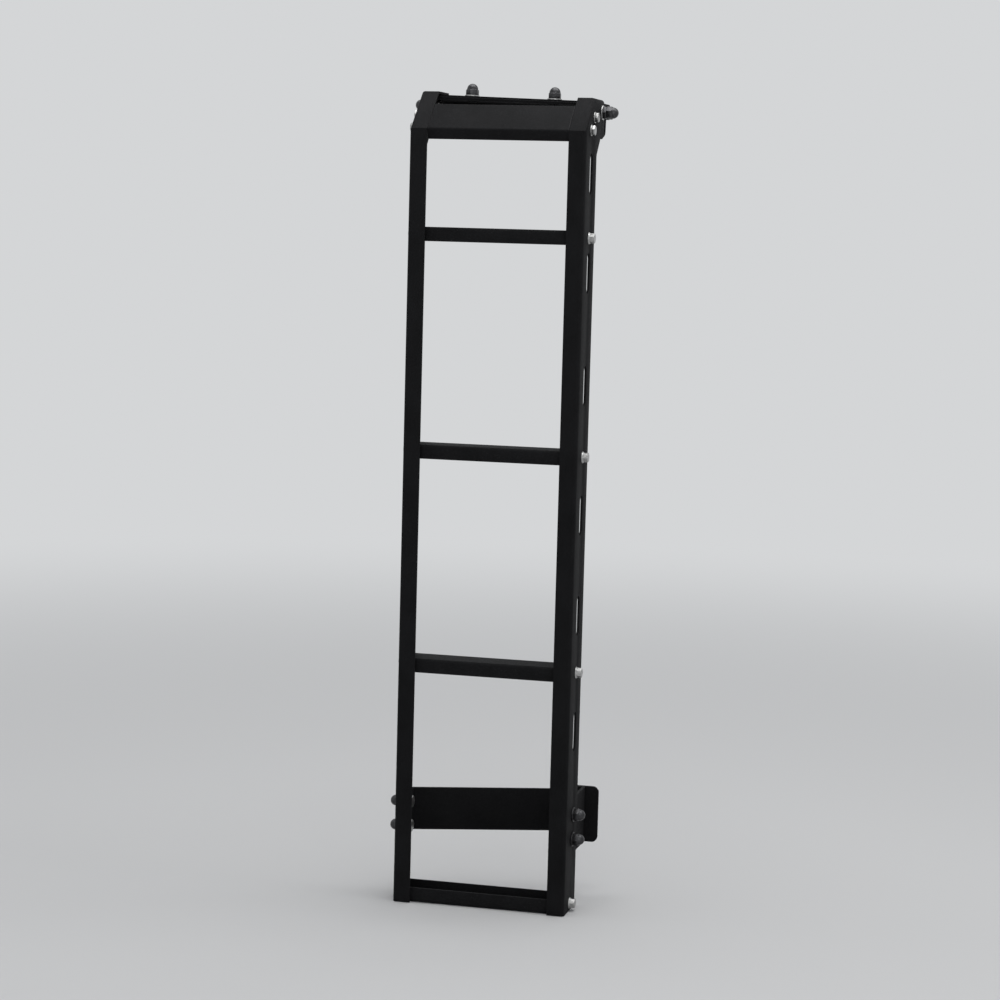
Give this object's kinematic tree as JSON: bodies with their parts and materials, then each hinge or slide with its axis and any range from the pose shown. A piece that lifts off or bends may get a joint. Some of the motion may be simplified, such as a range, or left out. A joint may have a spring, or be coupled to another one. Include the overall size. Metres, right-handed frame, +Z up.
{
  "type": "vehicle ladder",
  "caption": "Narrow folded-sheet ladder that hangs on a vehicle's rear door, with strap slots in its sides, a hook over the door's edge and a bracket for the hinge.",
  "frame": {"origin": "centre of the upper pad's rear face, which bears on the outside of the door under its top edge", "axes": "+X across the ladder to the climber's right, +Y towards the door, +Z up along the rails"},
  "size_m": [0.215, 0.136, 0.9259],
  "materials": {
    "powder_coat": "matte black powder coat",
    "rubber": "matte black rubber"
  },
  "bodies": {
    "root": {"door_hook": "powder_coat", "foot_rung": "powder_coat", "hinge_ear": "powder_coat", "left_rail": "powder_coat", "left_step_angle": "powder_coat", "lower_bracket": "powder_coat", "right_rail": "powder_coat", "right_step_angle": "powder_coat", "rung_1": "powder_coat", "rung_2": "powder_coat", "rung_3": "powder_coat", "top_step": "powder_coat", "upper_bracket": "powder_coat", "upper_pad": "rubber"}
  },
  "joints": []
}
